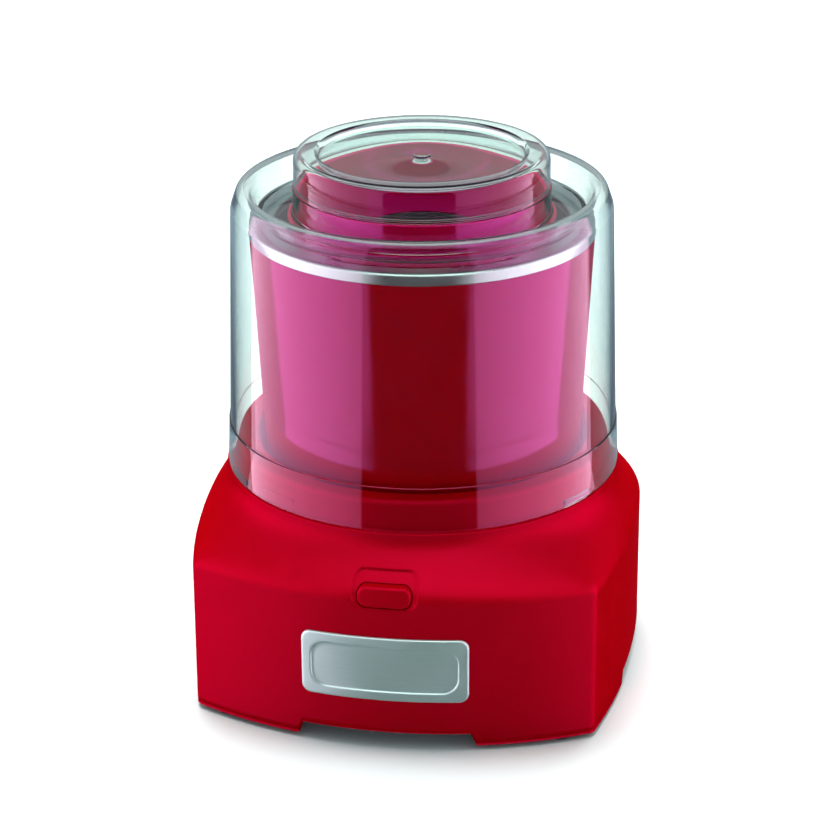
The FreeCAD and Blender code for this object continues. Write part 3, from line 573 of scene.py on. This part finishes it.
def dense_angles():
    """Angles of the base's columns: finer at the dish, the front corners and the notches."""
    front, quarter = -math.pi / 2, math.pi / 2
    edge = math.atan2(NOTCH_HALF, BASE_FRONT)
    side_edge = math.atan2(NOTCH_HALF, BASE_SIDE)
    corner = math.atan2(-116.0, 116.5)
    zones = [(front, 0.165, 0.0045), (corner, 0.06, 0.0045), (-math.pi - corner, 0.06, 0.0045)]
    notch_zone = 0.016
    zones += [(front + s * edge, notch_zone, 0.0022) for s in (-1, 1)]
    zones += [(base + s * side_edge, notch_zone, 0.0024) for base in (0.0, math.pi) for s in (-1, 1)]
    zones = [((middle + 2 * math.pi) % (2 * math.pi), half, step) for middle, half, step in zones]
    angles, a = [], quarter
    while a < quarter + 2 * math.pi - 0.004:
        angles.append(a)
        here = a % (2 * math.pi)
        steps = [step for middle, half, step in zones
                 if abs((here - middle + math.pi) % (2 * math.pi) - math.pi) < half]
        a += min(steps) if steps else 0.0175
    return np.array(angles)


def notch_edge(angle, radius):
    """Height of the base's bottom edge at that angle, with slanted ends to each notch."""
    x, y = radius * np.cos(angle), radius * np.sin(angle)
    rise = np.zeros_like(angle)
    for off, facing in ((x, y < -80), (y, x > 80), (y, x < -80)):
        inside = smooth((NOTCH_HALF + NOTCH_SLANT - np.abs(off)) / NOTCH_SLANT)
        rise = np.maximum(rise, np.where(facing, inside, 0.0))
    return BASE_Z0 + (NOTCH_TOP - BASE_Z0) * rise


DISH_HALF, DISH_Z0, DISH_Z1, DISH_R, DISH_DEPTH = 17.6, 80.0, 99.2, 6.5, 1.9


def dish_depth(x, z):
    """How deep the button's scoop is at x and z on the front."""
    mx, mz = (np.abs(x) - DISH_HALF + DISH_R), np.abs(z - (DISH_Z0 + DISH_Z1) / 2)
    mz = mz - (DISH_Z1 - DISH_Z0) / 2 + DISH_R
    outside = np.hypot(np.maximum(mx, 0), np.maximum(mz, 0)) + np.minimum(np.maximum(mx, mz), 0) - DISH_R
    return DISH_DEPTH * smooth(-outside / 1.7) * smooth((z - DISH_Z0 + 1.0) / 9.0)


def housing():
    """One closed skin: outer wall, shoulder, deck, pedestal and well, then back down the inside."""
    angle = dense_angles()
    foot_radius = outline_radius(angle, BASE_Z0, 0.0)
    edge = notch_edge(angle, foot_radius)
    fade = 24.0
    rows = []

    def wall_row(z, inset):
        height = z + (edge - BASE_Z0) * np.clip(1 - (z - BASE_Z0) / fade, 0, 1)
        radius = outline_radius(angle, height, inset)
        x, y = radius * np.cos(angle), radius * np.sin(angle)
        if inset < WALL / 2:
            y = y + np.where(y < 0, dish_depth(x, height), 0.0)
        rows.append(np.stack([x, y, height], 1))

    lip = 0.9
    for k in range(5):
        a = math.pi / 2 * k / 4
        wall_row(BASE_Z0 + lip * (1 - math.sin(a)), lip * (1 - math.cos(math.pi / 2 - a)))
    rows.reverse()
    rows.sort(key=lambda row: row[:, 2].min())
    levels = [5, 7, 9.5, 13, 17, 22, 28, 36, 44, 52, 60, 68, 74, 78]
    levels += list(np.arange(79, 101, 0.62)) + list(np.arange(101, 113.2, 1.0))
    for z in levels:
        wall_row(z, 0.0)
    under = WELL_FLOOR - WALL
    profile = rounded([
        (DECK_R, 112.9), (DECK_R, DECK_Z, 0.6), (PEDESTAL_OUT + 0.3, DECK_Z, 0.9),
        (PEDESTAL_OUT, PEDESTAL_TOP, 3.2), (PEDESTAL_IN, PEDESTAL_TOP, 3.2),
        (WELL_R + 4.2, WELL_FLOOR, 5.0), (15, WELL_FLOOR, 1.0), (13.5, WELL_FLOOR + 2.4, 0.6),
        (8, WELL_FLOOR + 2.4, 0.3), (8, under), (WELL_R + 6.8, under, 6.0),
        (PEDESTAL_IN + 2.8, PEDESTAL_TOP - WALL, 1.0), (PEDESTAL_OUT - 2.6, PEDESTAL_TOP - WALL, 1.0),
        (PEDESTAL_OUT - 2.6, DECK_Z - WALL), (DECK_R - WALL - 0.6, DECK_Z - WALL),
    ], closed=False, step=11.0)
    for r, z in profile[1:]:
        rows.append(np.stack([r * np.cos(angle), r * np.sin(angle), np.full_like(angle, z)], 1))
    for z in (108, 104, 100, 96, 92, 88, 84, 60, 30, 12, BASE_Z0 + 0.5):
        wall_row(z, WALL)
    wall_row(BASE_Z0, WALL - 0.5)
    count = len(angle)
    faces = []
    for i in range(len(rows)):
        faces += band(i * count, ((i + 1) % len(rows)) * count, count)
    piece = add_mesh("housing_skin", np.concatenate(rows), faces, "base", "red_plastic",
                     ("base_housing",), sharp=50.0)
    slot_gap = 0.45
    hole = pill((BUTTON_HIGH[0] - BUTTON_LOW[0]) / 2 + slot_gap, BUTTON_LOW[2] - slot_gap,
                BUTTON_HIGH[2] + slot_gap, 5.2)
    slot = stacked([[(x, y, z) for x, z in hole] for y in (-150.0, -112.0)])
    turn = [2 * math.pi * k / 48 for k in range(48)]
    zm = (GLAND_LOW[2] + GLAND_HIGH[2]) / 2
    inlet = stacked([[(6 * math.cos(a), y, zm + 6 * math.sin(a)) for a in turn] for y in (100.0, 120.0)])
    return carve(piece, [slot, inlet])


def bosses():
    """Screw bosses inside the base and the three bayonet lugs on the pedestal."""
    outline = rounded([(1.6, 13.1), (4.5, 13.1, 0.4), (4.5, 100), (1.6, 100)])
    tubes = [revolve(outline, 32, (sx * 76.0, sy * 58.0)) for sx in (-1, 1) for sy in (-1, 1)]
    add_mesh("screw_bosses", *joined(tubes), "base", "red_plastic")
    lugs = [sector(PEDESTAL_OUT - 0.9, PEDESTAL_OUT + 1.0, 118.4, 120.6, 110 + 120 * i, 16)
            for i in range(3)]
    soften(add_mesh("bayonet_lugs", *joined(lugs), "base", "red_plastic"), 0.35)


def nameplate():
    """Plate bent to the front wall, with a rolled edge, a flat border and a sunk brushed field."""
    half = (PLATE_HIGH[0] - PLATE_LOW[0]) / 2
    z0, z1 = PLATE_LOW[2], PLATE_HIGH[2]
    thick, sink = 1.6, 0.75
    rings = [(0.0, 5.0, 0.05), (0.0, 5.0, thick - 1.0)]
    for k in range(1, 7):
        a = math.pi / 2 * k / 6
        rings.append((1.0 - math.cos(a), 5.0, thick - 1.0 + math.sin(a)))
    rings += [(2.2, 5.5, thick), (4.2, 7.5, thick), (4.9, 8.3, thick)]
    for k in range(1, 7):
        t = k / 6
        rings.append((4.9 + 0.9 * t, 8.3 + 0.4 * t, thick - sink * float(smooth(t))))
    deepest = (z1 - z0) / 2 - 0.35
    for k in range(1, 9):
        t = k / 8
        rings.append((5.8 + (deepest - 5.8) * t, 8.7, thick - sink))
    loops = []
    for inset, radius, height in rings:
        flat = pill(half - inset, z0 + inset, z1 - inset, radius)
        y = front_wall(flat[:, 0], flat[:, 1]) - height
        loops.append(np.stack([flat[:, 0], y, flat[:, 1]], 1))
    return add_mesh("badge_plate", *stacked(loops), "base", "plate_metal", ("nameplate",), sharp=60.0)


def button():
    """Push cap: an upright, slightly crowned face with rolled edges, standing out of the scoop."""
    half = (BUTTON_HIGH[0] - BUTTON_LOW[0]) / 2
    z0, z1 = BUTTON_LOW[2], BUTTON_HIGH[2]
    roll, recline, proud = 1.5, 2.6, 0.1
    rings = [(0.0, 8.5), (0.0, 6.5), (0.0, 4.0), (0.0, roll)]
    for k in range(1, 9):
        a = math.pi / 2 * k / 8
        rings.append((roll * (1 - math.cos(a)), roll * (1 - math.sin(a))))
    deepest = (z1 - z0) / 2 - 0.2
    rings += [(roll + (deepest - roll) * k / 6, 0.0) for k in range(1, 7)]
    loops = []
    for inset, back in rings:
        flat = pill(half - inset, z0 + inset, z1 - inset, 4.8)
        x, z = flat[:, 0], flat[:, 1]
        lean = recline * (np.clip((z - z0) / (z1 - z0), 0, 1)) ** 1.3
        crown = 0.25 * (1 - (x / half) ** 2)
        y = front_wall(x, np.full_like(x, z0)) - proud + lean - crown + back
        loops.append(np.stack([x, y, z], 1))
    return add_mesh("button_cap", *stacked(loops), "button", "red_plastic", ("power_button",), sharp=60.0)


def feet():
    """Four rubber feet, each with a stem in its tower."""
    for corner in ("front_left", "front_right", "rear_left", "rear_right"):
        low, high = span(f"foot_{corner}")
        at = ((low[0] + high[0]) / 2, (low[1] + high[1]) / 2)
        radius = (high[0] - low[0]) / 2
        lathe(f"rubber_foot_{corner}", [
            (0, 0.5), (radius * 0.45, 0.5), (radius * 0.55, 0.0, 0.5), (radius, 0.0, 0.8),
            (radius, 2.5, 0.3),
            (5.9, 2.5), (5.9, high[2], 0.6), (0, high[2]),
        ], "base", "rubber", (f"foot_{corner}",), segments=64, at=at)


def cord_inlet():
    """Rubber bushing in the back wall, turned about a level axis."""
    zm = (GLAND_LOW[2] + GLAND_HIGH[2]) / 2
    wall = BASE_BACK - DRAFT * (zm - BASE_Z0)
    outline = rounded([
        (3.4, GLAND_HIGH[1], 0.7), (8.2, GLAND_HIGH[1], 1.0), (8.2, wall + 0.1), (5.9, wall + 0.1),
        (5.9, wall - WALL - 0.4), (7.6, wall - WALL - 0.4, 0.3), (7.6, GLAND_LOW[1], 0.5),
        (3.4, GLAND_LOW[1]),
    ])
    points, faces = revolve(outline, 64)
    points = [(x, z, zm - y) for x, y, z in points]
    return add_mesh("inlet_bushing", points, faces, "base", "rubber", ("cord_gland",))


# ---------------------------------------------------------------- bowl
def bowl():
    """Freezer bowl: tapered outer wall, rolled rim and spun liner."""
    bottom, top = BOWL_LOW[2], BOWL_HIGH[2]
    r0, r1, wall, socket = 86.6, BOWL_HIGH[0], 2.0, 20.0
    lathe("bowl_wall", [
        (socket, bottom, 0.4), (r0, bottom, 7), (r1, top), (r1 - wall, top), (r0 - wall, bottom + wall, 5),
        (socket, bottom + wall),
    ], "bowl", "bowl_red", ("bowl_shell",), segments=224)
    rim_in = 79.0
    z0, z1 = RIM_LOW[2], RIM_HIGH[2]
    lathe("rolled_rim", [
        (rim_in, z0 + 0.6), (rim_in + 3, z0 + 0.6), (rim_in + 3, z0), (RIM_HIGH[0], z0, 0.5),
        (RIM_HIGH[0], z1, 1.6), (RIM_HIGH[0] - 4.0, z1, 0.5), (RIM_HIGH[0] - 4.6, z1 - 0.5, 0.4),
        (rim_in + 2.6, z1 - 0.5, 0.8), (rim_in, z1 - 1.4, 1.6),
    ], "bowl", "aluminium", ("bowl_rim",), segments=224)
    top_in = 78.8
    floor_z, floor_r, skin = LINER_LOW[2] + 1.6, 74.5, 1.6
    rise = LINER_HIGH[2]
    # The liner's finish paints it dark below 0.233 m, as shade inside the bowl.
    lathe("spun_liner", [
        (0, floor_z), (floor_r, floor_z, 12), (top_in, rise), (top_in + skin, rise),
        (floor_r + skin, floor_z - skin, 13.6), (0, floor_z - skin),
    ], "bowl", "aluminium", ("bowl_liner",), segments=224, finish="spun_painted_shade")


# ---------------------------------------------------------------- lid
LID_T, LID_STEP = 2.2, 0.6
LID_R0 = LID_HIGH[0]
SKIRT_TOP, SHOULDER_Z, CREST_Z = 138.8, 259.0, 270.0
LID_R1, CREST_R, FLOOR_R, FLOOR_Z = 102.6, 95.3, 86.6, 255.5
COLLAR_R, COLLAR_BORE = 69.3, 67.3
COLLAR_TOP = LID_HIGH[2] - 1.4


def lid():
    """Clear lid: stepped skirt, tapered wall, rolled crest, trough and spout collar."""
    z0 = LID_LOW[2]
    wall_r = LID_R0 - 0.04 * (SKIRT_TOP - z0)
    lathe("lid_clear", [
        (LID_R0, z0, 0.8), (wall_r, SKIRT_TOP, 0.7), (wall_r - LID_STEP, SKIRT_TOP + 0.4, 0.3),
        (LID_R1, SHOULDER_Z, 7.0), (CREST_R + 3.4, CREST_Z, 5.0), (CREST_R - 3.0, CREST_Z, 4.0),
        (FLOOR_R + 1.4, FLOOR_Z, 2.6), (COLLAR_R, FLOOR_Z, 1.6), (COLLAR_R, COLLAR_TOP, 0.5),
        (COLLAR_BORE + 0.7, COLLAR_TOP, 0.2), (COLLAR_BORE + 0.7, COLLAR_TOP + 1.4, 0.3),
        (COLLAR_BORE, COLLAR_TOP + 1.4, 0.3), (COLLAR_BORE, FLOOR_Z - LID_T, 0.5),
        (FLOOR_R - 0.4, FLOOR_Z - LID_T, 0.8), (FLOOR_R + 0.2 + LID_T, FLOOR_Z + 1.5, 1.2),
        (CREST_R - 1.6, CREST_Z - LID_T, 2.0), (CREST_R + 2.0, CREST_Z - LID_T, 3.0),
        (LID_R1 - LID_T, SHOULDER_Z - 1.0, 5.0), (LID_R0 - 1.2 - LID_T, SKIRT_TOP, 0.5),
        (LID_R0 - LID_T, z0, 0.6),
    ], "lid", "clear_plastic", BODIES["lid"], segments=256)
    tabs = [sector(PEDESTAL_OUT + 0.7, LID_R0 - LID_T - 0.06, z0 + 0.6, z0 + 3.6, 90 + 120 * i, 12)
            for i in range(3)]
    soften(add_mesh("lid_tabs", *joined(tabs), "lid", "clear_plastic"), 0.35)


def spout():
    """Red ring in the collar, with its hooked flange and two slots for the mixing arm."""
    low, high = RING_LOW[2], RING_HIGH[2]
    outer, inner = 67.0, 64.6
    flange_top = FLOOR_Z - LID_T - 0.3
    ring = lathe("spout_sleeve", [
        (inner, low, 0.5), (outer, low, 0.5), (outer, flange_top - 2.0),
        (RING_HIGH[0], flange_top - 2.0, 0.6), (RING_HIGH[0], flange_top, 0.6), (outer, flange_top, 0.3),
        (outer, high, 0.9), (inner, high, 0.9),
    ], "ring", "ring_red", ("spout_ring",), segments=256)
    top = span("mixing_arm")[1][2] + 0.4
    loops = [[(x, y, z) for y, z in ((-5, low - 1), (5, low - 1), (5, top), (-5, top))] for x in (-80, 80)]
    points = [p for loop in loops for p in loop]
    sides = band(0, 4, 4) + [[3, 2, 1, 0], [4, 5, 6, 7]]
    carve(ring, [(points, sides)])


def cap():
    """Clear cap with a sunk top and a small centre nub."""
    z0, top = CAP_LOW[2], CAP_HIGH[2]
    radius, wall, dish_r, dish, nub = CAP_HIGH[0], 1.8, 55.4, 4.2, 4.6
    rebate, inner, under = COLLAR_BORE + 0.9, radius - wall, top - wall
    lathe("cap_clear", [
        (rebate, z0), (radius, z0, 0.4), (radius - 0.2, top, 4.8), (dish_r, top, 2.0),
        (dish_r - 0.6, top - dish, 1.0), (nub, top - dish, 0.4), (nub, top - dish + 1.3, 1.0),
        (0, top - dish + 1.3), (0, under - dish), (dish_r + 0.6, under - dish, 1.5),
        (dish_r + 1.4, under, 0.8), (inner, under, 3.0), (inner, z0 + 1.9, 0.3), (rebate, z0 + 1.9),
    ], "cap", "clear_plastic", BODIES["cap"], segments=256)


# ---------------------------------------------------------------- kept CAD nodes
def dress_frame():
    """Gives each CAD node that stays in view its finish, and rounds its hard edges."""
    finishes = {part["node"]: part["material_slot"] for part in frame["record"]["subparts"]}
    soft = {"mixing_arm": 0.7, "drive_coupler": 0.4, "bowl_socket": 0.3, "switch_body": 0.4,
            "bottom_cover": 0.4, "gearbox_housing": 0.4, "gearbox_cover": 0.4, "cooling_fan": 0.2,
            "output_bush": 0.25, "motor_can": 0.4}
    for name, shape in frame["nodes"].items():
        shape.data.materials.clear()
        shape.data.materials.append(MATERIALS[finishes[name]])
        if name in soft:
            soften(shape, soft[name], segments=2)


# ---------------------------------------------------------------- stage, light, camera
CAMERA_AT = Vector((0.21207, -1.29974, 0.69600))
CAMERA_AIM = Vector((-0.00384, 0.00912, 0.13489))
CAMERA_ROLL = 0.00598
LENS = 112.5


def deep_reflection(tree):
    """1 for a ray that has already bounced off something glossy, else 0."""
    path = tree.nodes.new("ShaderNodeLightPath")
    return maths(tree, "GREATER_THAN", path.outputs["Glossy Depth"], 0.5)


def floor():
    """A pale ground, a hair below the feet so that no two faces share a plane."""
    reach, level = 9, -0.0002
    points = [(-reach, -reach, level), (reach, -reach, level), (reach, reach, level), (-reach, reach, level)]
    mesh = bpy.data.meshes.new("floor")
    mesh.from_pydata(points, [], [[0, 1, 2, 3]])
    ground = placed("floor", mesh)
    made, tree, shader, where = start_material("pale_floor")
    tint(tree, noise(tree, where, 3, 2), (0.87, 0.885, 0.885), 0.004, shader.inputs["Base Color"])
    tree.links.new(varied(tree, noise(tree, where, 30, 2), 0.6, 0.7), shader.inputs["Roughness"])
    shader.inputs["Specular IOR Level"].default_value = 0.1
    unseen = tree.nodes.new("ShaderNodeBsdfTransparent")
    mixed_surface(tree, deep_reflection(tree), shader, unseen)
    mesh.materials.append(made)


def aside(azimuth, elevation):
    """Direction from the object to a lamp. Azimuth 0 is the camera's side."""
    facing = math.atan2(CAMERA_AT.y - AXIS[1], CAMERA_AT.x) + math.radians(azimuth)
    rise = math.radians(elevation)
    return Vector((math.cos(facing) * math.cos(rise), math.sin(facing) * math.cos(rise), math.sin(rise)))


def softbox(name, azimuth, elevation, distance, width, height, radiance, edges, ramp=(1.0, 1.0),
            tint=(1.0, 1.0, 1.0)):
    """A rectangular lamp facing the object, seen only in reflections.

    edges is how far it fades at its sides and at its top and bottom; ramp is its strength from side to side.
    """
    lamp = bpy.data.lights.new(name, "AREA")
    lamp.shape = "RECTANGLE"
    lamp.size, lamp.size_y = width, height
    lamp.energy = radiance * math.pi * width * height
    lamp.use_nodes = True
    tree = lamp.node_tree
    glow = tree.nodes["Emission"]
    glow.inputs["Color"].default_value = (*tint, 1)
    where = tree.nodes.new("ShaderNodeNewGeometry")
    split = tree.nodes.new("ShaderNodeSeparateXYZ")
    tree.links.new(where.outputs["Parametric"], split.inputs[0])
    sides = []
    for axis, edge in zip("XY", edges):
        centred = maths(tree, "SUBTRACT", split.outputs[axis], 0.5)
        sides.append(step_up(tree, maths(tree, "ABSOLUTE", centred), 0.5, 0.5 - edge))
    slope = node(tree, "ShaderNodeMapRange")
    slope.inputs["To Min"].default_value, slope.inputs["To Max"].default_value = ramp
    tree.links.new(split.outputs["X"], slope.inputs["Value"])
    level = slope.outputs["Result"]
    for side in sides:
        level = maths(tree, "MULTIPLY", level, side)
    tree.links.new(level, glow.inputs["Strength"])
    source = placed(name, lamp)
    aim = Vector((0, AXIS[1], 0.15))
    away = aside(azimuth, elevation)
    source.location = aim + away * distance
    source.rotation_euler = away.to_track_quat("Z", "Y").to_euler()
    source.visible_camera = False
    source.visible_diffuse = False


def sun(name, azimuth, elevation, strength, angle):
    """Broad light from one side that leaves no reflection."""
    lamp = bpy.data.lights.new(name, "SUN")
    lamp.energy = strength
    lamp.angle = math.radians(angle)
    source = placed(name, lamp)
    away = aside(azimuth, elevation)
    source.location = away * 2
    source.rotation_euler = away.to_track_quat("Z", "Y").to_euler()
    source.visible_glossy = False
    source.visible_transmission = False


# A direction's Y between the first two numbers blends the front strength into the rear strength.
WORLD_LIGHT = (-0.7, 0.3, 0.35, 1.05)
WORLD_SEEN = (-0.1, 0.6, 0.0, 0.42)
FRONT_TINT, LIGHT_TINT = (0.72, 0.96, 1.0), (0.88, 1.0, 1.0)
BELOW_TINT, ABOVE_TINT = (0.62, 0.86, 1.0), (1.0, 1.12, 1.14)
PANEL_TINT = (1.0, 0.74, 0.90)


def surroundings():
    """World light: white behind the object, cool and dim in front of it; reflections see a darker front."""
    world = bpy.data.worlds.new("studio")
    bpy.context.scene.world = world
    world.use_nodes = True
    tree = world.node_tree
    back = tree.nodes["Background"]
    where = tree.nodes.new("ShaderNodeTexCoord")
    split = tree.nodes.new("ShaderNodeSeparateXYZ")
    tree.links.new(where.outputs["Generated"], split.inputs[0])
    above = step_up(tree, split.outputs["Z"], -0.06, 0.04)
    layers = []
    for (low, high, front, rear), below_tint, above_tint in (
            (WORLD_SEEN, BELOW_TINT, ABOVE_TINT), (WORLD_LIGHT, LIGHT_TINT, LIGHT_TINT)):
        sky = blended(tree, above, tuple(c * rear for c in below_tint), tuple(c * rear for c in above_tint))
        behind = step_up(tree, split.outputs["Y"], low, high)
        layers.append(blended(tree, behind, tuple(c * front for c in FRONT_TINT), sky))
    path = tree.nodes.new("ShaderNodeLightPath")
    lighting = maths(tree, "MAXIMUM", path.outputs["Is Diffuse Ray"], path.outputs["Is Camera Ray"])
    tree.links.new(blended(tree, lighting, *layers), back.inputs["Color"])


def camera():
    """Camera at the viewing angle of the photograph."""
    lens = bpy.data.cameras.new("camera")
    lens.sensor_width = 36.0
    lens.lens = LENS
    lens.clip_end = 60
    view = placed("camera", lens)
    ahead = (CAMERA_AIM - CAMERA_AT).normalized()
    right = ahead.cross(Vector((0, 0, 1))).normalized()
    down = ahead.cross(right)
    across = (right + down * CAMERA_ROLL).normalized()
    upward = (across.cross(ahead)).normalized()
    turn = Matrix((across, upward, -ahead)).transposed()
    view.matrix_world = Matrix.Translation(CAMERA_AT) @ turn.to_4x4()
    bpy.context.scene.camera = view


def main():
    dress_frame()
    housing()
    bosses()
    nameplate()
    button()
    feet()
    cord_inlet()
    bowl()
    lid()
    spout()
    cap()
    floor()
    surroundings()
    side = {"elevation": 6, "distance": 1.15, "width": 2.17, "height": 2.6, "edges": (0.02, 0.15),
            "tint": PANEL_TINT}
    softbox("left_panel", -76, radiance=2.3, ramp=(1.5, 0.5), **side)
    softbox("right_panel", 71, radiance=2.2, ramp=(0.5, 1.5), **side)
    softbox("top_panel", 0, 70, distance=1.3, width=1.6, height=1.4, radiance=2.4, edges=(0.25, 0.25))
    sun("overhead", 190, 73, strength=3.7, angle=45)
    camera()
    bpy.context.scene.view_settings.view_transform = "Standard"


main()
